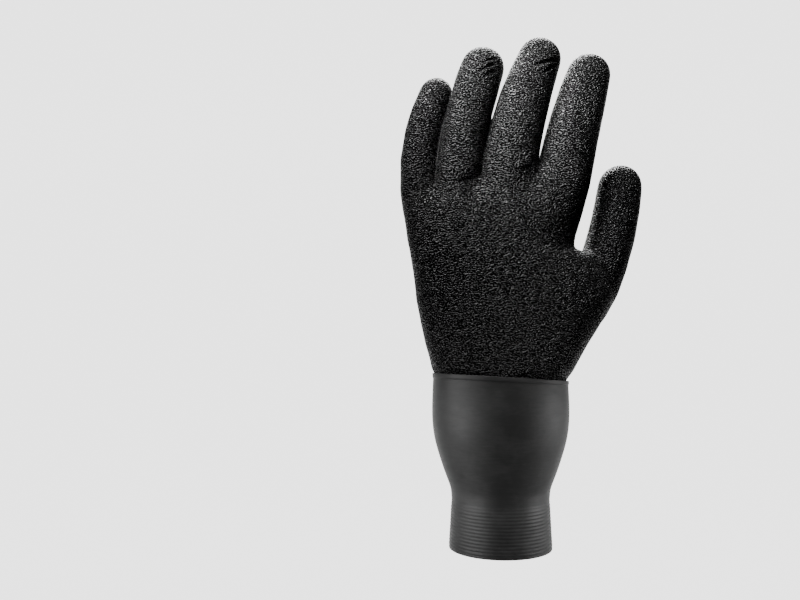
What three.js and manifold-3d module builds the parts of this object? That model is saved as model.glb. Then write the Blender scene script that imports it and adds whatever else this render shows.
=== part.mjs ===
// A dry diving glove for the left hand, standing upright with the back of the hand towards -Y.
// It is two pieces: a hollow hand of textured rubber with five digits, and a smooth bottle-shaped
// wrist cuff that is glued over the hand's sleeve and ends in fine grip ribs round its mouth.
// Millimetres and degrees, +Z up, the origin at the centre of the cuff's mouth.
import * as THREE from "three";
import { mergeVertices } from "three/addons/utils/BufferGeometryUtils.js";
import Module from "manifold-3d";

const wasm = await Module();
wasm.setup();

// Walls and fits
const handWall = 1.5;
const cuffWall = 1.0;
const lapClearance = 0.3;
const lapLength = 20;

// Cuff: outer widths across the hand, depths front to back, and heights above the mouth
const cuffHeight = 105.5;
const mouthWidth = 63.8;
const mouthDepth = 62;
const neckHeight = 32;
const neckWidth = 60.4;
const neckDepth = 56;
const bulgeHeight = 82;
const bulgeWidth = 85.2;
const bulgeDepth = 73;
const edgeWidth = 83.4;
const edgeDepth = 66;

// The cuff's top edge is cut on a slant: higher at the little finger's side and at the back of
// the hand. A lip stands proud along it.
const edgeTilt = 3.4;
const edgePitch = 4.5;
const lipHeight = 2.4;
const lipProud = 0.4;

// Grip ribs round the cuff's mouth
const ribCount = 12;
const ribPitch = 2.05;
const ribProud = 0.35;
const firstRibHeight = 1.6;

// Shoulder of the cuff between neck and bulge: how far up it is, and how far out it has come
const shoulderRows = [
  { rise: 0, out: 0 },
  { rise: 0.1, out: 0.05 },
  { rise: 0.19, out: 0.19 },
  { rise: 0.34, out: 0.42 },
  { rise: 0.49, out: 0.61 },
  { rise: 0.64, out: 0.8 },
  { rise: 0.79, out: 0.93 },
  { rise: 1, out: 1 },
];

// Taper from the bulge to the top edge: how far up it is, and how far in it has come
const taperRows = [
  { rise: 0.5, drawnIn: 0.4 },
  { rise: 1, drawnIn: 1 },
];

// Palm, from the cuff's top edge up to the webs between the fingers
const palmLength = 124.5;
const palmWidth = 116;
const palmDepth = 54;

// Palm sections from the cuff's edge upwards. Up is a share of palmLength, side and wide of half
// palmWidth, back and deep of half palmDepth. Tilt raises the thumb's side and pitch the back of
// the hand, in degrees. The row at 0.605 reaches into the thumb and makes the web between them.
const palmRows = [
  { up: 0.03, side: 0.009, wide: 0.733, back: 0, deep: 1.19, tilt: -2, pitch: 2.5 },
  { up: 0.075, side: 0.028, wide: 0.768, back: 0, deep: 1.14, tilt: -1, pitch: 1 },
  { up: 0.165, side: 0.061, wide: 0.854, back: 0.01, deep: 1.04, tilt: 0, pitch: 0 },
  { up: 0.28, side: 0.109, wide: 0.958, back: 0.03, deep: 0.95, tilt: 0, pitch: 0 },
  { up: 0.385, side: 0.149, wide: 1.04, back: 0.05, deep: 0.89, tilt: 0, pitch: 0 },
  { up: 0.5, side: 0.112, wide: 1.026, back: 0.06, deep: 0.86, tilt: 0, pitch: 0 },
  { up: 0.605, side: 0.007, wide: 0.959, back: 0.06, deep: 0.83, tilt: 0, pitch: 0 },
  { up: 0.637, side: -0.094, wide: 0.87, back: 0.06, deep: 0.82, tilt: 0, pitch: 0 },
  { up: 0.69, side: -0.094, wide: 0.892, back: 0.07, deep: 0.8, tilt: 2, pitch: 0 },
  { up: 0.81, side: -0.078, wide: 0.938, back: 0.09, deep: 0.73, tilt: 5, pitch: 0 },
  { up: 0.89, side: -0.052, wide: 0.975, back: 0.1, deep: 0.62, tilt: 8.5, pitch: 0 },
  { up: 0.945, side: -0.043, wide: 0.97, back: 0.1, deep: 0.49, tilt: 10.5, pitch: 0 },
  { up: 0.98, side: -0.043, wide: 0.9, back: 0.1, deep: 0.33, tilt: 10.5, pitch: 0 },
  { up: 1, side: -0.043, wide: 0.78, back: 0.1, deep: 0.15, tilt: 10.5, pitch: 0 },
];

// Where the palm is thinner than this many walls it is solid, as at the webs.
const wallsOfSolidWeb = 6;

// The middle finger: its length from the root inside the palm, and its width and depth at the tip
const fingerLength = 115.4;
const fingerWidth = 26.6;
const fingerDepth = 24.8;

// Digits, from the little finger to the thumb. The root lies inside the palm: across is a share of
// palmWidth, back of palmDepth and up of palmLength. Length, width and depth are shares of the
// middle finger's, at the root, at the web where the digit comes free, and at the tip. Lean is the
// angle towards the thumb's side, curl the angle towards the palm and roll the turn about the
// digit's own axis, in degrees.
const digits = [
  {
    across: -0.408, back: 0.125, up: 0.72, length: 0.932,
    rootWidth: 0.714, webWidth: 0.812, tipWidth: 0.789,
    rootDepth: 0.726, webDepth: 0.887, tipDepth: 0.831,
    rootLean: -12, tipLean: 27.2, rootCurl: 2.5, tipCurl: 15.3, roll: 0,
  },
  {
    across: -0.243, back: 0.054, up: 0.802, length: 0.995,
    rootWidth: 0.94, webWidth: 1.038, tipWidth: 1,
    rootDepth: 1.008, webDepth: 1.048, tipDepth: 0.992,
    rootLean: 2.6, tipLean: 22.4, rootCurl: -1.4, tipCurl: 19.4, roll: 0,
  },
  {
    across: 0.02, back: -0.023, up: 0.85, length: 1,
    rootWidth: 1.128, webWidth: 1.278, tipWidth: 1,
    rootDepth: 1.008, webDepth: 1.089, tipDepth: 1,
    rootLean: 5.2, tipLean: 26.3, rootCurl: 2.8, tipCurl: 18, roll: 0,
  },
  {
    across: 0.281, back: 0.042, up: 0.73, length: 1.038,
    rootWidth: 1.09, webWidth: 1.278, tipWidth: 1.008,
    rootDepth: 1.048, webDepth: 1.109, tipDepth: 1.008,
    rootLean: 9.5, tipLean: 20.2, rootCurl: -3.9, tipCurl: 20.9, roll: 0,
  },
  {
    across: 0.399, back: 0.094, up: 0.238, length: 0.969,
    rootWidth: 0.789, webWidth: 1.075, tipWidth: 0.992,
    rootDepth: 0.887, webDepth: 1.129, tipDepth: 0.968,
    rootLean: 30.6, tipLean: 4.8, rootCurl: 4.2, tipCurl: 8.7, roll: 15,
  },
];

// Sections along a digit's shaft: how far the size has gone from the root's to the web's and from
// the web's to the tip's, and the swell that fingers inside the glove give it
const shaftRows = [
  { along: 0, toWeb: 0, toTip: 0, swell: 1 },
  { along: 0.15, toWeb: 0.6, toTip: 0, swell: 1 },
  { along: 0.3, toWeb: 1, toTip: 0, swell: 1 },
  { along: 0.5, toWeb: 1, toTip: 0.3, swell: 1.03 },
  { along: 0.7, toWeb: 1, toTip: 0.58, swell: 1.04 },
  { along: 0.86, toWeb: 1, toTip: 0.8, swell: 1.03 },
  { along: 1, toWeb: 1, toTip: 1, swell: 1 },
];

// A fingertip is a dome: its height as a share of half the tip's width, its sections, and the
// angle in degrees at which the last one closes it
const domeHeight = 1.05;
const domeSteps = 5;
const domeEnd = 84;

// Squareness of the sections: 2 is an ellipse, more is squarer
const cuffPower = 2;
const palmPower = 2.4;
const digitPower = 2.15;

// Sides of a section
const bodySides = 40;
const digitSides = 18;

// Points closer than this are one point
const mergeDistance = 1e-4;

const { lerp, clamp, degToRad } = THREE.MathUtils;

// A closed solid lofted through sections. Each section has a centre, two directions, its half
// sizes along them and its squareness. The wall of a cylinder is moved out to the sections.
function loft(sections, sides) {
  const form = new THREE.CylinderGeometry(1, 1, 1, sides, sections.length - 1);
  const place = form.attributes.position;
  const point = new THREE.Vector3();
  for (let i = 0; i < place.count; i += 1) {
    point.fromBufferAttribute(place, i);
    const level = Math.round((point.y + 0.5) * (sections.length - 1));
    const angle = Math.atan2(-point.z, point.x);
    const onRim = Math.round(Math.hypot(point.x, point.z));
    const { centre, across, through, halfWide, halfDeep, power } = sections[level];
    point
      .copy(centre)
      .addScaledVector(across, onRim * halfWide * squarer(Math.cos(angle), power))
      .addScaledVector(through, onRim * halfDeep * squarer(Math.sin(angle), power));
    place.setXYZ(i, point.x, point.y, point.z);
  }
  return solidOf(form);
}

function squarer(value, power) {
  return Math.sign(value) * Math.abs(value) ** (2 / power);
}

function solidOf(geometry) {
  geometry.deleteAttribute("normal");
  geometry.deleteAttribute("uv");
  const merged = mergeVertices(geometry, mergeDistance);
  return new wasm.Manifold(
    new wasm.Mesh({
      numProp: 3,
      vertProperties: merged.attributes.position.array,
      triVerts: new Uint32Array(merged.index.array),
    }),
  );
}

function meshOf(solid, name, material) {
  const { vertProperties, triVerts } = solid.getMesh();
  const geometry = new THREE.BufferGeometry();
  geometry.setAttribute("position", new THREE.BufferAttribute(vertProperties, 3));
  geometry.setIndex(new THREE.BufferAttribute(triVerts, 1));
  geometry.computeVertexNormals();
  const mesh = new THREE.Mesh(geometry, material);
  mesh.name = name;
  return mesh;
}

// A section of an upright piece. Tilt and pitch slide its rim up or down and leave its outline,
// seen from above, as it is.
function uprightSection({ x = 0, y = 0, z, tilt, pitch }, halfWide, halfDeep, power) {
  return {
    centre: new THREE.Vector3(x, y, z),
    across: new THREE.Vector3(1, 0, Math.tan(degToRad(tilt))),
    through: new THREE.Vector3(0, 1, -Math.tan(degToRad(pitch))),
    halfWide,
    halfDeep,
    power,
  };
}

// Outline of the cuff without its ribs and lip
const cuffOutline = [
  { height: 0, width: mouthWidth, depth: mouthDepth },
  ...shoulderRows.map(({ rise, out }) => ({
    height: lerp(neckHeight, bulgeHeight, rise),
    width: lerp(neckWidth, bulgeWidth, out),
    depth: lerp(neckDepth, bulgeDepth, out),
  })),
  ...taperRows.map(({ rise, drawnIn }) => ({
    height: lerp(bulgeHeight, cuffHeight, rise),
    width: lerp(bulgeWidth, edgeWidth, drawnIn),
    depth: lerp(bulgeDepth, edgeDepth, drawnIn),
  })),
];
const plainHeights = cuffOutline.slice(1).map((row) => row.height);

// The cuff's section at a height, moved outwards by proud. Above the bulge it turns to the slant
// of the top edge.
function cuffSection(height, proud) {
  const high = cuffOutline.slice(1).find((row) => row.height >= height) ?? cuffOutline.at(-1);
  const low = cuffOutline[cuffOutline.indexOf(high) - 1];
  const share = clamp((height - low.height) / (high.height - low.height), 0, 1);
  const slant = clamp((height - bulgeHeight) / (cuffHeight - bulgeHeight), 0, 1);
  return uprightSection(
    { z: height, tilt: -edgeTilt * slant, pitch: edgePitch * slant },
    lerp(low.width, high.width, share) / 2 + proud,
    lerp(low.depth, high.depth, share) / 2 + proud,
    cuffPower,
  );
}

function cuffSolid() {
  const ribs = Array.from({ length: ribCount }, (_, i) => firstRibHeight + i * ribPitch);
  const outer = loft(
    [
      cuffSection(0, 0),
      ...ribs.flatMap((h) => [cuffSection(h, 0), cuffSection(h + ribPitch / 2, ribProud)]),
      cuffSection(firstRibHeight + ribCount * ribPitch, 0),
      ...plainHeights.slice(0, -1).map((h) => cuffSection(h, 0)),
      cuffSection(cuffHeight - lipHeight, 0),
      cuffSection(cuffHeight - lipHeight + lipProud, lipProud),
      cuffSection(cuffHeight, lipProud),
    ],
    bodySides,
  );
  const inner = loft(
    [-cuffWall, ...plainHeights, cuffHeight + cuffWall].map((h) => cuffSection(h, -cuffWall)),
    bodySides,
  );
  return outer.subtract(inner);
}

// The palm and its sleeve inside the cuff. Inset is 0 for the outer face, and the wall for the
// hollow, which starts below the sleeve.
function palmSolid(inset) {
  const sleeveFoot = cuffHeight - lapLength;
  const lap = plainHeights.filter((height) => height > sleeveFoot);
  const sleeve = [sleeveFoot - inset, ...lap].map((h) =>
    cuffSection(h, -cuffWall - lapClearance - inset),
  );
  const palm = palmRows
    .filter(({ deep }) => deep * palmDepth > wallsOfSolidWeb * inset)
    .map(({ up, side, wide, back, deep, tilt, pitch }) => {
      const x = (side * palmWidth) / 2;
      const y = (back * palmDepth) / 2;
      const z = cuffHeight + up * palmLength;
      return uprightSection(
        { x, y, z, tilt, pitch },
        (wide * palmWidth) / 2 - inset,
        (deep * palmDepth) / 2 - inset,
        palmPower,
      );
    });
  return loft([...sleeve, ...palm], bodySides);
}

// Unit direction of a digit that leans and curls by these angles
function heading(lean, curl) {
  const upright = Math.cos(degToRad(curl));
  return new THREE.Vector3(
    Math.sin(degToRad(lean)) * upright,
    Math.sin(degToRad(curl)),
    Math.cos(degToRad(lean)) * upright,
  );
}

function digitSolid(digit, inset) {
  const root = new THREE.Vector3(
    digit.across * palmWidth,
    digit.back * palmDepth,
    cuffHeight + digit.up * palmLength,
  );
  const half = (digit.length * fingerLength) / 2;
  const tipWidth = digit.tipWidth * fingerWidth;
  const tipDepth = digit.tipDepth * fingerDepth;
  const bend = root.clone().addScaledVector(heading(digit.rootLean, digit.rootCurl), half);
  const tip = bend.clone().addScaledVector(heading(digit.tipLean, digit.tipCurl), half);
  const line = new THREE.QuadraticBezierCurve3(root, bend, tip);
  const lineLength = line.getLength();
  const shaftLength = lineLength - (domeHeight * tipWidth) / 2;

  const section = (distance, width, depth, shrink) => {
    const share = distance / lineLength;
    const along = line.getTangentAt(share);
    const across = new THREE.Vector3(0, 1, 0)
      .cross(along)
      .normalize()
      .applyAxisAngle(along, degToRad(digit.roll));
    return {
      centre: line.getPointAt(share),
      across,
      through: along.clone().cross(across),
      halfWide: (width / 2 - inset) * shrink,
      halfDeep: (depth / 2 - inset) * shrink,
      power: digitPower,
    };
  };
  const shaft = shaftRows.map(({ along, toWeb, toTip, swell }) => {
    const width = fingerWidth * lerp(lerp(digit.rootWidth, digit.webWidth, toWeb), digit.tipWidth, toTip);
    const depth = fingerDepth * lerp(lerp(digit.rootDepth, digit.webDepth, toWeb), digit.tipDepth, toTip);
    return section(along * shaftLength, width * swell, depth * swell, 1);
  });
  const dome = Array.from({ length: domeSteps }, (_, i) => {
    const angle = degToRad((domeEnd * (i + 1)) / domeSteps);
    return section(
      shaftLength + domeHeight * (tipWidth / 2 - inset) * Math.sin(angle),
      tipWidth,
      tipDepth,
      Math.cos(angle),
    );
  });
  return loft([...shaft, ...dome], digitSides);
}

function handBody(inset) {
  return digits.reduce((body, digit) => body.add(digitSolid(digit, inset)), palmSolid(inset));
}

const texturedRubber = new THREE.MeshStandardMaterial({
  color: 0x161616,
  roughness: 0.55,
  metalness: 0,
});
const smoothRubber = new THREE.MeshStandardMaterial({
  color: 0x2e2e2d,
  roughness: 0.4,
  metalness: 0,
});

const glove = new THREE.Group();
glove.name = "diving_glove";
glove.add(meshOf(handBody(0).subtract(handBody(handWall)), "hand_shell", texturedRubber));
glove.add(meshOf(cuffSolid(), "wrist_cuff", smoothRubber));

export default glove;
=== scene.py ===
# A dry diving glove for the left hand: a hand of crinkled black rubber and a smooth bottle-shaped
# wrist cuff with fine grip ribs. Metres, +Z up, the back of the hand towards -Y.
import math

import bmesh
import bpy
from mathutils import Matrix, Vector


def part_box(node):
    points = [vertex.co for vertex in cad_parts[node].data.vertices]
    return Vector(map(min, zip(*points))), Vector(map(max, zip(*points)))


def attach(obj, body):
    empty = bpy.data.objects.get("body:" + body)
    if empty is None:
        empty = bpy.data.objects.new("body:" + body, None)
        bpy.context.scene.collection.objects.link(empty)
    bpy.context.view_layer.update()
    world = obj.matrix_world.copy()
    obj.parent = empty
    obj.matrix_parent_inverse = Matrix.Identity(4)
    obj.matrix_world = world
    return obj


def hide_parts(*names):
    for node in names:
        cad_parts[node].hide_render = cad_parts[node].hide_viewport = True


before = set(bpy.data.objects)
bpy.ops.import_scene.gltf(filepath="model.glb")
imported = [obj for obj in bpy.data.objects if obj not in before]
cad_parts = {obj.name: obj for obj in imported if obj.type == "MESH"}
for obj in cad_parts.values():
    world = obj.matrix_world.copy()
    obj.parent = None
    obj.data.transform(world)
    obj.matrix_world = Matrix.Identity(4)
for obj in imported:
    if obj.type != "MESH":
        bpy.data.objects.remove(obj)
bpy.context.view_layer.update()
hand_low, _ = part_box("hand_shell")

MM = 0.001

# Rubber wall of the cuff, and the height of its top edge on the middle line
CUFF_WALL = 1.0 * MM
CUFF_HEIGHT = 105.5 * MM

# Cuff outline from the mouth up, in millimetres: half its width and half its depth
CUFF_ROWS = [
    {"height": 0.0, "half_width": 31.9, "half_depth": 31.0},
    {"height": 16.0, "half_width": 31.0, "half_depth": 29.4},
    {"height": 30.0, "half_width": 30.2, "half_depth": 28.1},
    {"height": 37.0, "half_width": 30.8, "half_depth": 28.4},
    {"height": 41.5, "half_width": 32.5, "half_depth": 29.7},
    {"height": 49.0, "half_width": 35.4, "half_depth": 31.6},
    {"height": 56.5, "half_width": 37.8, "half_depth": 33.2},
    {"height": 64.0, "half_width": 40.1, "half_depth": 34.8},
    {"height": 71.5, "half_width": 41.7, "half_depth": 35.9},
    {"height": 82.0, "half_width": 42.6, "half_depth": 36.5},
    {"height": 94.0, "half_width": 42.25, "half_depth": 35.1},
    {"height": CUFF_HEIGHT / MM, "half_width": 41.7, "half_depth": 33.0},
]
RIM_STEPS = 72

# How far the cuff's top edge slants from side to side and from front to back, and the height where
# the slant starts
EDGE_TILT = math.radians(3.4)
EDGE_PITCH = math.radians(4.5)
SLANT_START = 82 * MM

# Lip along the cuff's top edge, from the plain wall up to the edge, in millimetres
LIP_ROWS = [
    {"below_edge": 3.6, "proud": 0.0},
    {"below_edge": 2.7, "proud": 0.0},
    {"below_edge": 2.3, "proud": 0.45},
    {"below_edge": 0.6, "proud": 0.45},
    {"below_edge": 0.1, "proud": 0.45},
    {"below_edge": 0.0, "proud": 0.3},
]

# Grip ribs round the cuff's mouth. An even share of their height is the same all round, and the
# rest comes and goes in patches.
RIB_COUNT = 15
RIB_PITCH = 2.05 * MM
RIB_PROUD = 0.25 * MM
FIRST_RIB = 1.6 * MM
RIBS_TOP = FIRST_RIB + RIB_COUNT * RIB_PITCH
FADING_RIBS = 4
EVEN_SHARE = 0.3
PATCH_SIZE = 8 * MM

# Rows of the cuff's mesh: the step between them along the ribs, and the row that keeps the mouth's
# edge crisp
ROW_STEP = 0.6 * RIB_PITCH
MOUTH_EDGE = 0.35 * MM

# Hand: how fine its mesh is, the passes that smooth it, and the height that these take away
OUTER_VOXEL = 0.55 * MM
INNER_VOXEL = 1.6 * MM
OUTER_PASSES = 120
BLEND_PASSES = 500
INNER_PASSES = 12
ROUNDING_LOSS = 0.65 * MM
BLENDING_LOSS = 0.9 * MM
OUTER_TRIANGLES = 172000
INNER_TRIANGLES = 16000

# Crinkle of the rubber: worm-like ridges, how far and how finely they bend, and the crumbs that break
# them up
CRINKLE_HEIGHT = 0.26 * MM
CRINKLE_WIDTH = 1.45 * MM
CRINKLE_STRETCH = (0.9, 0.95, 1.14)
CRINKLE_FREQUENCY = 1.5
BEND = 1.1 * CRINKLE_WIDTH
BEND_SIZE = 1.9 * CRINKLE_WIDTH
CRUMB_SIZE = 0.75 * CRINKLE_WIDTH
WORM_SHARE = 0.82

# Soft undulations of the hand
SAG_HEIGHT = 1.1 * MM
SAG_WIDTH = 26 * MM

# Heights between which the smoothing and the crinkle come in, round the cuff's top edge
SMOOTHING_START = CUFF_HEIGHT - 1 * MM
SMOOTHING_FULL = CUFF_HEIGHT + 7 * MM
CRINKLE_START = CUFF_HEIGHT - 2 * MM
CRINKLE_FULL = CUFF_HEIGHT + 3 * MM

# How far the hand's two faces are run on below the sleeve's foot before the foot is cut
OUTER_RUN = 12 * MM
INNER_RUN = 18 * MM
FOOT_TRIM = 1.2 * MM

# How squarely a face looks forwards or back where the broad faces start, and where they are full
BROAD_FACE = (0.1, 0.5)

# Where the fingers and the thumb run into the palm, in millimetres across and up. The blend is full
# over a share of its reach.
BLENDS = [
    {"middle": (-3, 219), "reach": (78, 30)},
    {"middle": (60, 158), "reach": (30, 42)},
]
FULL_BLEND = 0.55

# Valleys that run down from between the fingers, and creases of the rubber, on the back of the
# hand. In millimetres: their ends across and up, their width and their depth.
FOLDS = [
    {"start": (-43.0, 226.0), "end": (-38.0, 206.0), "width": 6.0, "depth": 0.8},
    {"start": (-14.5, 236.0), "end": (-20.5, 206.0), "width": 6.0, "depth": 0.9},
    {"start": (22.0, 238.0), "end": (12.5, 210.0), "width": 6.0, "depth": 0.9},
    {"start": (0.0, 305.5), "end": (-13.0, 301.0), "width": 0.9, "depth": 0.7},
    {"start": (-0.5, 302.5), "end": (-18.0, 292.5), "width": 1.0, "depth": 0.8},
    {"start": (-2.5, 297.5), "end": (-13.0, 289.5), "width": 0.9, "depth": 0.6},
    {"start": (38.5, 304.5), "end": (17.0, 297.5), "width": 1.0, "depth": 0.8},
    {"start": (35.5, 301.0), "end": (24.0, 291.5), "width": 0.9, "depth": 0.6},
    {"start": (-30.0, 224.5), "end": (-14.5, 228.5), "width": 1.0, "depth": 0.5},
    {"start": (7.5, 231.0), "end": (19.5, 235.5), "width": 1.0, "depth": 0.5},
    {"start": (61.0, 173.0), "end": (73.0, 165.5), "width": 1.3, "depth": 0.5},
    {"start": (66.0, 150.0), "end": (78.0, 141.0), "width": 2.2, "depth": 0.4},
]

# How far a fold reaches and where the rubber swells beside it, in widths of the fold, how high the
# swelling is, as a share of its depth, and how near to its middle it starts to fade
FOLD_REACH = 4
SWELL_PLACE = 1.9
SWELL_SHARE = 0.35
FOLD_FADE = 0.15


def object_of(bm, name):
    """A new object from a bmesh, linked to the scene."""
    mesh = bpy.data.meshes.new(name)
    bm.to_mesh(mesh)
    bm.free()
    piece = bpy.data.objects.new(name, mesh)
    bpy.context.scene.collection.objects.link(piece)
    return piece


def add_modifier(piece, kind, **settings):
    modifier = piece.modifiers.new(kind.title(), kind)
    for key, value in settings.items():
        setattr(modifier, key, value)
    return modifier


def apply_modifiers(piece):
    """The modifiers' result becomes the piece's own mesh."""
    bpy.context.view_layer.update()
    shaped = piece.evaluated_get(bpy.context.evaluated_depsgraph_get())
    mesh = bpy.data.meshes.new_from_object(shaped)
    old = piece.data
    piece.modifiers.clear()
    piece.data = mesh
    bpy.data.meshes.remove(old)


def clamp(value):
    return min(max(value, 0), 1)


def ease(value, low, high):
    """From 0 at low to 1 at high, with soft ends."""
    share = clamp((value - low) / (high - low))
    return share * share * (3 - 2 * share)


def shade_smooth(piece):
    piece.data.polygons.foreach_set("use_smooth", [True] * len(piece.data.polygons))


# Node recipes
class Wire:
    """An output socket of a recipe, with arithmetic that adds Math nodes."""

    def __init__(self, recipe, socket):
        self.recipe = recipe
        self.socket = socket

    def maths(self, operation, first, second):
        settings = {"operation": operation}
        return self.recipe.add("ShaderNodeMath", settings, {0: first, 1: second}, "Value")

    def __add__(self, other):
        return self.maths("ADD", self, other)

    def __radd__(self, other):
        return self.maths("ADD", other, self)

    def __sub__(self, other):
        return self.maths("SUBTRACT", self, other)

    def __rsub__(self, other):
        return self.maths("SUBTRACT", other, self)

    def __mul__(self, other):
        return self.maths("MULTIPLY", self, other)

    def __rmul__(self, other):
        return self.maths("MULTIPLY", other, self)

    def __abs__(self):
        return self.maths("ABSOLUTE", self, 0)

    def above(self, limit):
        """1 where the value is above the limit, and 0 elsewhere."""
        return self.maths("GREATER_THAN", self, limit)


class Recipe:
    """A node tree that is written as calls."""

    def __init__(self, tree):
        self.tree = tree

    def add(self, kind, settings=None, inputs=None, output=0):
        node = self.tree.nodes.new(kind)
        for key, value in (settings or {}).items():
            setattr(node, key, value)
        for key, value in (inputs or {}).items():
            socket = self.find(node.inputs, key)
            if isinstance(value, Wire):
                self.tree.links.new(value.socket, socket)
            else:
                socket.default_value = value
        return Wire(self, self.find(node.outputs, output)) if len(node.outputs) else None

    def find(self, sockets, key):
        if isinstance(key, int):
            return sockets[key]
        return next(socket for socket in sockets if key in (socket.identifier, socket.name))

    def noise(self, place, size, detail=2.0, roughness=0.5, distortion=0.0):
        """Noise from 0 to 1 with lumps of about the given size in metres."""
        inputs = {"Vector": place, "Scale": 1 / size, "Detail": detail}
        inputs.update({"Roughness": roughness, "Distortion": distortion})
        return self.add("ShaderNodeTexNoise", {}, inputs, "Fac")

    def spread(self, value, low, high, to_low=0.0, to_high=1.0):
        """A value that eases from to_low at low to to_high at high."""
        inputs = {"Value": value, "From Min": low, "From Max": high}
        inputs.update({"To Min": to_low, "To Max": to_high})
        settings = {"interpolation_type": "SMOOTHSTEP"}
        return self.add("ShaderNodeMapRange", settings, inputs, "Result")

    def blend(self, factor, first, second):
        """A colour between two colours."""
        inputs = {"Factor_Float": factor, "A_Color": first, "B_Color": second}
        return self.add("ShaderNodeMix", {"data_type": "RGBA"}, inputs, "Result_Color")

    def stretch(self, place, scale):
        inputs = {0: place, 1: scale}
        return self.add("ShaderNodeVectorMath", {"operation": "MULTIPLY"}, inputs, "Vector")

    def height_of(self, place):
        return self.add("ShaderNodeSeparateXYZ", {}, {0: place}, "Z")


def grey(level):
    return (level, level, level, 1.0)


def crinkle(recipe, place):
    """Height of the rubber's crinkle from 0 to 1: short worm-like ridges, drawn out sideways, bent
    by one noise and broken up by another."""
    place = recipe.stretch(place, CRINKLE_STRETCH)
    inputs = {"Vector": place, "Scale": 1 / BEND_SIZE, "Detail": 1.0}
    shift = recipe.add("ShaderNodeTexNoise", {}, inputs, "Color")
    inputs = {0: shift, 1: (BEND, BEND, BEND), 2: place}
    bent = recipe.add("ShaderNodeVectorMath", {"operation": "MULTIPLY_ADD"}, inputs, "Vector")
    inputs = {"Vector": bent, "Scale": 1 / (CRINKLE_WIDTH * CRINKLE_FREQUENCY)}
    inputs.update({"Frequency": CRINKLE_FREQUENCY, "Anisotropy": 0.0})
    worms = recipe.add("ShaderNodeTexGabor", {"gabor_type": "3D"}, inputs, "Value")
    crumbs = recipe.noise(place, CRUMB_SIZE, 1.0)
    return worms * WORM_SHARE + crumbs * (1 - WORM_SHARE)


def raise_faces(piece, name, height_at):
    """Moves the faces out along their normals, by the height that height_at works out."""
    tree = bpy.data.node_groups.new(name, "GeometryNodeTree")
    tree.interface.new_socket("Geometry", in_out="INPUT", socket_type="NodeSocketGeometry")
    tree.interface.new_socket("Geometry", in_out="OUTPUT", socket_type="NodeSocketGeometry")
    recipe = Recipe(tree)
    mesh = recipe.add("NodeGroupInput", {}, {}, 0)
    place = recipe.add("GeometryNodeInputPosition", {}, {}, "Position")
    normal = recipe.add("GeometryNodeInputNormal", {}, {}, "Normal")
    inputs = {0: normal, "Scale": height_at(recipe, place, normal)}
    offset = recipe.add("ShaderNodeVectorMath", {"operation": "SCALE"}, inputs, "Vector")
    moved = recipe.add("GeometryNodeSetPosition", {}, {"Geometry": mesh, "Offset": offset}, 0)
    recipe.add("NodeGroupOutput", {}, {0: moved})
    add_modifier(piece, "NODES", node_group=tree)
    apply_modifiers(piece)


# Hand
def joined_to(start):
    """Every vertex that edges join to the given one."""
    reached = {start}
    waiting = [start]
    while waiting:
        near = waiting.pop()
        for edge in near.link_edges:
            other = edge.other_vert(near)
            if other not in reached:
                reached.add(other)
                waiting.append(other)
    return reached


def hand_face(outer):
    """The outer or inner face of the hand's solid, run on below the sleeve's foot and closed."""
    bm = bmesh.new()
    bm.from_mesh(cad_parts["hand_shell"].data)
    bmesh.ops.remove_doubles(bm, verts=bm.verts, dist=0.001 * MM)
    foot_top = hand_low.z + 2 * MM
    foot = [f for f in bm.faces if f.normal.z < -0.9 and f.calc_center_median().z < foot_top]
    bmesh.ops.delete(bm, geom=foot, context="FACES")
    # The point furthest out on the thumb is on the outer face, which nothing joins to the inner one
    outer_face = joined_to(max(bm.verts, key=lambda vert: vert.co.x))
    unwanted = [vert for vert in bm.verts if (vert in outer_face) != outer]
    bmesh.ops.delete(bm, geom=unwanted, context="VERTS")
    rim = [edge for edge in bm.edges if edge.is_boundary]
    drawn = bmesh.ops.extrude_edge_only(bm, edges=rim)["geom"]
    for vert in (item for item in drawn if isinstance(item, bmesh.types.BMVert)):
        vert.co.z = hand_low.z - (OUTER_RUN if outer else INNER_RUN)
    bmesh.ops.holes_fill(bm, edges=[edge for edge in bm.edges if edge.is_boundary], sides=0)
    bmesh.ops.triangulate(bm, faces=bm.faces)
    bmesh.ops.recalc_face_normals(bm, faces=bm.faces)
    return bm


def above_cuff(vert):
    """How far a point lies above the part of the sleeve that the cuff hides, from 0 to 1."""
    return ease(vert.co.z, SMOOTHING_START, SMOOTHING_FULL)


def near_root(vert):
    """How far a point of the broad faces lies inside one of the blends, from 0 to 1."""
    broad = ease(abs(vert.normal.y), *BROAD_FACE)
    inside = 0
    for blend in BLENDS:
        across = (vert.co.x / MM - blend["middle"][0]) / blend["reach"][0]
        up = (vert.co.z / MM - blend["middle"][1]) / blend["reach"][1]
        inside = max(inside, 1 - ease(math.hypot(across, up), FULL_BLEND, 1))
    return inside * broad


def soften(piece, passes, swell, weight_of):
    """Rounds the faces off where weight_of says so, and gives back what the rounding takes."""
    weights = piece.vertex_groups.new(name="softened")
    steps = 12
    bands = [[] for _ in range(steps + 1)]
    for vert in piece.data.vertices:
        bands[round(weight_of(vert) * steps)].append(vert.index)
    for step, members in enumerate(bands):
        weights.add(members, step / steps, "REPLACE")
    group = weights.name
    add_modifier(piece, "SMOOTH", factor=0.5, iterations=passes, vertex_group=group)
    add_modifier(piece, "DISPLACE", strength=swell, mid_level=0, vertex_group=group)
    apply_modifiers(piece)
    piece.vertex_groups.clear()


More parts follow.
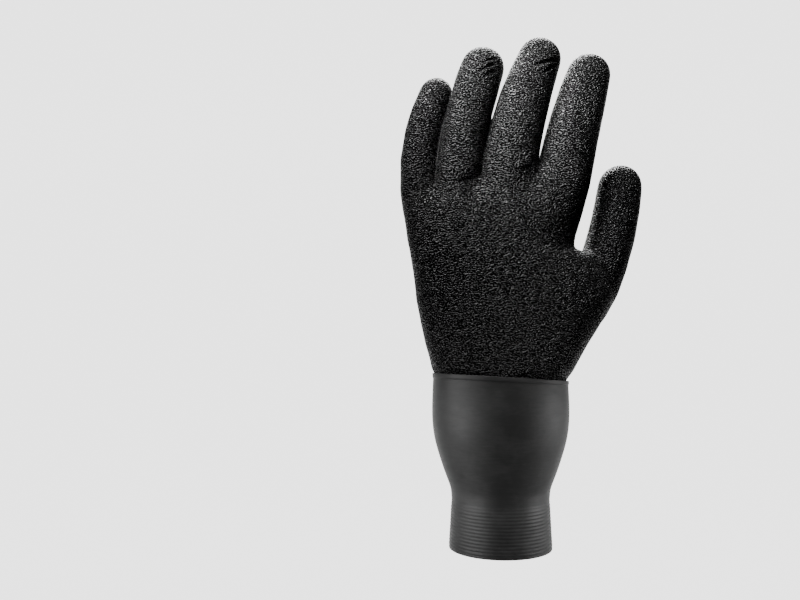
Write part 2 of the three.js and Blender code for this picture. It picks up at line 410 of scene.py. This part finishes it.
def press_of(point, start, line, width, depth):
    """How far a fold presses a point of the back in. It is below zero where the rubber swells."""
    place = point - start
    along = place.dot(line) / line.length_squared
    if abs(along - 0.5) > 0.5:
        return 0
    away = abs(place.cross(line)) / line.length / width
    if away > FOLD_REACH:
        return 0
    ends = 1 - ease(abs(along - 0.5), FOLD_FADE, 0.5)
    swell = SWELL_SHARE * math.exp(-((away - SWELL_PLACE) ** 2))
    return depth * ends * (math.exp(-away * away) - swell)


def press_folds(piece):
    """Presses the folds into the back of the hand. The rubber swells a little on both sides."""
    folds = []
    for fold in FOLDS:
        start, end = Vector(fold["start"]) * MM, Vector(fold["end"]) * MM
        folds.append((start, end - start, fold["width"] * MM, fold["depth"] * MM))
    moves = []
    for vert in piece.data.vertices:
        facing = ease(-vert.normal.y, *BROAD_FACE)
        if facing == 0:
            continue
        point = vert.co.xz
        press = sum(press_of(point, *fold) for fold in folds)
        if press:
            moves.append((vert.index, vert.co - vert.normal * press * facing))
    for index, place in moves:
        piece.data.vertices[index].co = place


def crinkle_height(recipe, place, _):
    """The crinkle and the soft undulations, fading out inside the cuff."""
    bare = recipe.spread(recipe.height_of(place), CRINKLE_START, CRINKLE_FULL)
    sag = (recipe.noise(place, SAG_WIDTH, 1.0) - 0.5) * SAG_HEIGHT
    return ((crinkle(recipe, place) - 0.5) * CRINKLE_HEIGHT + sag) * bare


def thin_out(piece, triangles):
    """Brings the mesh down to about the given number of triangles."""
    now = sum(len(polygon.vertices) - 2 for polygon in piece.data.polygons)
    if now > triangles:
        add_modifier(piece, "DECIMATE", ratio=triangles / now)
        apply_modifiers(piece)


def cut_foot(piece, height):
    """Cuts everything below a height away and closes the cut."""
    bm = bmesh.new()
    bm.from_mesh(piece.data)
    everything = bm.verts[:] + bm.edges[:] + bm.faces[:]
    level = Vector((0, 0, height))
    bmesh.ops.bisect_plane(
        bm, geom=everything, plane_co=level, plane_no=(0, 0, 1), clear_inner=True
    )
    bmesh.ops.holes_fill(bm, edges=[edge for edge in bm.edges if edge.is_boundary], sides=0)
    bm.to_mesh(piece.data)
    bm.free()


def make_hand():
    """The hand's solid with its facets smoothed away, its folds pressed in, its crinkle raised and
    its hollow cut out."""
    hollow = object_of(hand_face(outer=False), "hollow")
    add_modifier(hollow, "REMESH", mode="VOXEL", voxel_size=INNER_VOXEL)
    apply_modifiers(hollow)
    soften(hollow, INNER_PASSES, 0.0, above_cuff)
    thin_out(hollow, INNER_TRIANGLES)

    hand = object_of(hand_face(outer=True), "crinkled_hand")
    add_modifier(hand, "REMESH", mode="VOXEL", voxel_size=OUTER_VOXEL)
    apply_modifiers(hand)
    soften(hand, OUTER_PASSES, ROUNDING_LOSS, above_cuff)
    soften(hand, BLEND_PASSES, BLENDING_LOSS, near_root)
    press_folds(hand)
    raise_faces(hand, "raise crinkle", crinkle_height)
    thin_out(hand, OUTER_TRIANGLES)
    cut_foot(hand, hand_low.z + FOOT_TRIM)
    add_modifier(hand, "BOOLEAN", operation="DIFFERENCE", solver="MANIFOLD", object=hollow)
    apply_modifiers(hand)
    bpy.data.objects.remove(hollow)
    shade_smooth(hand)
    return hand


# Cuff
def cuff_section(height):
    """Half the width and half the depth of the cuff at a height, in metres."""
    level = height / MM
    pairs = zip(CUFF_ROWS, CUFF_ROWS[1:])
    low, high = next((pair for pair in pairs if level <= pair[1]["height"]), CUFF_ROWS[-2:])
    share = clamp((level - low["height"]) / (high["height"] - low["height"]))
    half_width = low["half_width"] + share * (high["half_width"] - low["half_width"])
    half_depth = low["half_depth"] + share * (high["half_depth"] - low["half_depth"])
    return half_width * MM, half_depth * MM


def cuff_outline():
    """The wall's outline as height and distance out from the plain outer face."""
    heights = [0.0, MOUTH_EDGE]
    while heights[-1] + ROW_STEP < RIBS_TOP + RIB_PITCH:
        heights.append(heights[-1] + ROW_STEP)
    plain = [row["height"] * MM for row in CUFF_ROWS]
    heights += [height for height in plain[:-1] if height > RIBS_TOP + 2 * RIB_PITCH]
    outer = [(height, 0.0) for height in heights]
    outer += [(CUFF_HEIGHT - row["below_edge"] * MM, row["proud"] * MM) for row in LIP_ROWS]
    inner = [(height, -CUFF_WALL) for height in plain[:0:-1]]
    inner += [(MOUTH_EDGE, -CUFF_WALL), (0.0, -CUFF_WALL)]
    return outer + inner


def rib_height(recipe, place, normal):
    """The grip ribs round the outside of the mouth, uneven and fading out upwards."""
    level = recipe.height_of(place)
    turns = (level - FIRST_RIB) * (math.tau / RIB_PITCH)
    wave = 0.5 - 0.5 * recipe.add("ShaderNodeMath", {"operation": "COSINE"}, {0: turns}, "Value")
    low = level.above(FIRST_RIB)
    high = recipe.spread(level, RIBS_TOP - FADING_RIBS * RIB_PITCH, RIBS_TOP, 1.0, 0.0)
    inputs = {0: recipe.stretch(place, (1.0, 1.0, 0.0)), 1: normal}
    outward = recipe.add("ShaderNodeVectorMath", {"operation": "DOT_PRODUCT"}, inputs, "Value")
    outside = outward.above(20 * MM)
    patchy = EVEN_SHARE + recipe.noise(place, PATCH_SIZE, 1.0)
    return wave * low * high * outside * patchy * RIB_PROUD


def make_cuff():
    """The outline is spun with its points a metre apart, which number them, and is then drawn in
    to the cuff's sections."""
    bm = bmesh.new()
    outline = cuff_outline()
    verts = [bm.verts.new((1 + i, 0, height)) for i, (height, _) in enumerate(outline)]
    edges = [bm.edges.new(pair) for pair in zip(verts, verts[1:] + verts[:1])]
    bmesh.ops.spin(
        bm,
        geom=verts + edges,
        cent=(0, 0, 0),
        axis=(0, 0, 1),
        angle=math.tau,
        steps=RIM_STEPS,
        use_merge=True,
        use_duplicate=False,
    )
    for vert in bm.verts:
        flat = vert.co.xy
        row = round(flat.length) - 1
        height, proud = outline[row]
        half_width, half_depth = cuff_section(height)
        turn = flat.normalized()
        x = turn.x * (half_width + proud)
        y = turn.y * (half_depth + proud)
        slant = clamp((height - SLANT_START) / (CUFF_HEIGHT - SLANT_START))
        z = height - slant * (x * math.tan(EDGE_TILT) + y * math.tan(EDGE_PITCH))
        vert.co = (x, y, z)
    bmesh.ops.recalc_face_normals(bm, faces=bm.faces)
    if bm.calc_volume(signed=True) < 0:
        bmesh.ops.reverse_faces(bm, faces=bm.faces)
    cuff = object_of(bm, "bottle_cuff")
    add_modifier(cuff, "SUBSURF", levels=2, render_levels=2)
    apply_modifiers(cuff)
    raise_faces(cuff, "raise ribs", rib_height)
    shade_smooth(cuff)
    return cuff


# Rubbers
def new_material(name):
    material = bpy.data.materials.new(name)
    material.use_nodes = True
    material.node_tree.nodes.clear()
    return material, Recipe(material.node_tree)


def finish_material(recipe, shader_inputs):
    surface = recipe.add("ShaderNodeBsdfPrincipled", {}, shader_inputs, "BSDF")
    recipe.add("ShaderNodeOutputMaterial", {}, {"Surface": surface})


def crinkled_rubber():
    """Black rubber whose valleys are dull, with painted shade darkening their colour, and whose
    crests catch the light.
    """
    material, recipe = new_material("crinkled rubber")
    place = recipe.add("ShaderNodeTexCoord", {}, {}, "Object")
    relief = crinkle(recipe, place)
    ridge = recipe.spread(relief, 0.43, 0.66)
    grain = recipe.noise(place, 0.5 * MM, 2.0, 0.6)
    cloud = recipe.noise(place, 22 * MM, 2.0, 0.5)
    bump_inputs = {"Strength": 1.0, "Distance": 0.8 * MM, "Height": ridge + grain * 0.1}
    normal = recipe.add("ShaderNodeBump", {}, bump_inputs, "Normal")
    # Painted shade: the valleys get a far darker colour and almost no specular, standing in for the
    # shade that falls into them; the crests keep the rubber's own colour and are the lit copy of the
    # same rubber.
    shaded_valley = {"Base Color": grey(0.0004), "Roughness": 0.8, "Specular IOR Level": 0.02}
    crest = {"Base Color": grey(0.006), "Specular IOR Level": 0.45}
    crest["Roughness"] = 0.5 + (cloud - 0.5) * 0.15
    shaded_valley["Normal"] = crest["Normal"] = normal
    shaded_valley_shader = recipe.add("ShaderNodeBsdfPrincipled", {}, shaded_valley, "BSDF")
    bright = recipe.add("ShaderNodeBsdfPrincipled", {}, crest, "BSDF")
    surface = recipe.add("ShaderNodeMixShader", {}, {0: ridge, 1: shaded_valley_shader, 2: bright})
    recipe.add("ShaderNodeOutputMaterial", {}, {"Surface": surface})
    return material


def smooth_rubber():
    """Duller rubber with pale clouds and fine streaks round it."""
    material, recipe = new_material("smooth rubber")
    place = recipe.add("ShaderNodeTexCoord", {}, {}, "Object")
    cloud = recipe.noise(place, 16 * MM, 3.0, 0.55, 0.4)
    streak = recipe.noise(recipe.stretch(place, (1.0, 1.0, 7.0)), 7 * MM, 3.0, 0.6)
    bloom = recipe.spread(cloud * 0.6 + streak * 0.4, 0.4, 0.62)
    smear = recipe.noise(recipe.stretch(place, (1.0, 1.0, 4.0)), 9 * MM, 3.0, 0.6)
    grain = recipe.noise(place, 0.7 * MM, 3.0, 0.6)
    height = grain * 0.5 + streak * 1.2 + recipe.noise(place, 4 * MM, 2.0, 0.5) * 1.6
    bump_inputs = {"Strength": 0.4, "Distance": 0.08 * MM, "Height": height}
    normal = recipe.add("ShaderNodeBump", {}, bump_inputs, "Normal")
    finish_material(
        recipe,
        {
            "Base Color": recipe.blend(bloom, grey(0.006), grey(0.014)),
            "Roughness": 0.6 + bloom * 0.06 + (smear - 0.5) * 0.14,
            "Specular IOR Level": 0.4,
            "Normal": normal,
        },
    )
    return material


# Studio, in metres. The picture is as wide as PICTURE_WIDTH at the glove.
CAMERA_DISTANCE = 580 * MM
CAMERA_PLACE = Vector((-62.25 * MM, -CAMERA_DISTANCE, 153.14 * MM))
PICTURE_WIDTH = 496 * MM
SENSOR_WIDTH = 36
FLOOR_HEIGHT = -0.28
WALL_PLACE = 1.9
FRONT_PLACE = -4.0
HALF_SPAN = 4.5
WALL_HEIGHT = 4.0
CURVE_RADIUS = 0.9
ROOM_LIGHT = 0.05

# The backdrop's glow: its strength behind the glove, the share of it on the floor in front, how far
# back it comes in, and where it fades out to the sides and upwards
BACKDROP_GLOW = 2.8
FLOOR_GLOW = 0.028
GLOW_DEPTH = (0.15, 0.75)
GLOW_HALF_SPAN = (1.25, 1.9)
GLOW_HEIGHT = (1.05, 1.6)

# Where the lights stand, what they are aimed at, their size, their power in watts and the angle in
# degrees that they spread over
FINGERTIPS = (0.02, 0.0, 0.31)
LOW_CUFF = (0.0, 0.0, 0.045)
LIGHTS = [
    {
        "name": "top softbox", "place": (-0.07, -0.05, 0.46), "aim": FINGERTIPS,
        "size": (0.15, 0.15), "power": 1.05, "spread": 54,
    },
    {
        "name": "back softbox", "place": (0.05, 0.4, 0.62), "aim": FINGERTIPS,
        "size": (0.3, 0.3), "power": 2.2, "spread": 60,
    },
    {
        "name": "low left strip", "place": (-0.5, -0.25, 0.08), "aim": LOW_CUFF,
        "size": (0.1, 0.12), "power": 0.085, "spread": 18,
    },
    {
        "name": "low right strip", "place": (0.55, -0.1, 0.07), "aim": LOW_CUFF,
        "size": (0.1, 0.12), "power": 0.07, "spread": 18,
    },
]


def glowing_backdrop():
    """Pale grey that glows where the camera sees it."""
    material, recipe = new_material("pale backdrop")
    place = recipe.add("ShaderNodeTexCoord", {}, {}, "Object")
    back = recipe.add("ShaderNodeSeparateXYZ", {}, {0: place}, "Y")
    aside = abs(recipe.add("ShaderNodeSeparateXYZ", {}, {0: place}, "X"))
    behind = recipe.spread(back, *GLOW_DEPTH)
    near_middle = recipe.spread(aside, *GLOW_HALF_SPAN, 1.0, 0.0)
    low_enough = recipe.spread(recipe.height_of(place), *GLOW_HEIGHT, 1.0, 0.0)
    glow = FLOOR_GLOW + (1 - FLOOR_GLOW) * behind * near_middle * low_enough
    finish_material(
        recipe,
        {
            "Base Color": grey(0.25),
            "Roughness": 0.9,
            "Specular IOR Level": 0.0,
            "Emission Color": recipe.blend(glow, grey(0.0), grey(1.0)),
            "Emission Strength": BACKDROP_GLOW,
        },
    )
    return material


def make_backdrop():
    """A pale floor that curves up into a wall behind the glove."""
    bm = bmesh.new()
    corner = Vector((0, WALL_PLACE - CURVE_RADIUS, FLOOR_HEIGHT + CURVE_RADIUS))
    curve = [math.radians(angle) for angle in range(0, 91, 6)]
    line = [Vector((0, FRONT_PLACE, FLOOR_HEIGHT))]
    line += [corner + CURVE_RADIUS * Vector((0, math.sin(a), -math.cos(a))) for a in curve]
    line += [Vector((0, WALL_PLACE, WALL_HEIGHT))]
    verts = [bm.verts.new(point - Vector((HALF_SPAN, 0, 0))) for point in line]
    edges = [bm.edges.new(pair) for pair in zip(verts, verts[1:])]
    drawn = bmesh.ops.extrude_edge_only(bm, edges=edges)["geom"]
    moved = [item for item in drawn if isinstance(item, bmesh.types.BMVert)]
    bmesh.ops.translate(bm, verts=moved, vec=(2 * HALF_SPAN, 0, 0))
    backdrop = object_of(bm, "backdrop")
    shade_smooth(backdrop)
    backdrop.data.materials.append(glowing_backdrop())


def make_light(name, place, aim, size, power, spread):
    lamp = bpy.data.lights.new(name, "AREA")
    lamp.shape = "RECTANGLE"
    lamp.size, lamp.size_y = size
    lamp.energy = power
    lamp.spread = math.radians(spread)
    light = bpy.data.objects.new(name, lamp)
    bpy.context.scene.collection.objects.link(light)
    light.location = place
    light.rotation_euler = (Vector(aim) - Vector(place)).to_track_quat("-Z", "Y").to_euler()


def make_studio():
    make_backdrop()
    for light in LIGHTS:
        make_light(**light)
    world = bpy.data.worlds.new("room")
    world.use_nodes = True
    recipe = Recipe(world.node_tree)
    world.node_tree.nodes.clear()
    sky = recipe.add("ShaderNodeBackground", {}, {"Color": grey(ROOM_LIGHT), "Strength": 1.0}, 0)
    recipe.add("ShaderNodeOutputWorld", {}, {"Surface": sky})
    bpy.context.scene.world = world


def make_camera():
    """A level camera that looks straight at the back of the hand."""
    lens = bpy.data.cameras.new("camera")
    lens.sensor_width = SENSOR_WIDTH
    lens.lens = SENSOR_WIDTH * CAMERA_DISTANCE / PICTURE_WIDTH
    camera = bpy.data.objects.new("camera", lens)
    bpy.context.scene.collection.objects.link(camera)
    camera.location = CAMERA_PLACE
    camera.rotation_euler = (math.radians(90), 0, 0)
    bpy.context.scene.camera = camera


def dress(piece, node, material):
    """Gives a piece its rubber, and puts it in place of the solid of that name."""
    piece.data.materials.clear()
    piece.data.materials.append(material)
    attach(piece, "root")
    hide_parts(node)


make_camera()
make_studio()
dress(make_hand(), "hand_shell", crinkled_rubber())
dress(make_cuff(), "wrist_cuff", smooth_rubber())
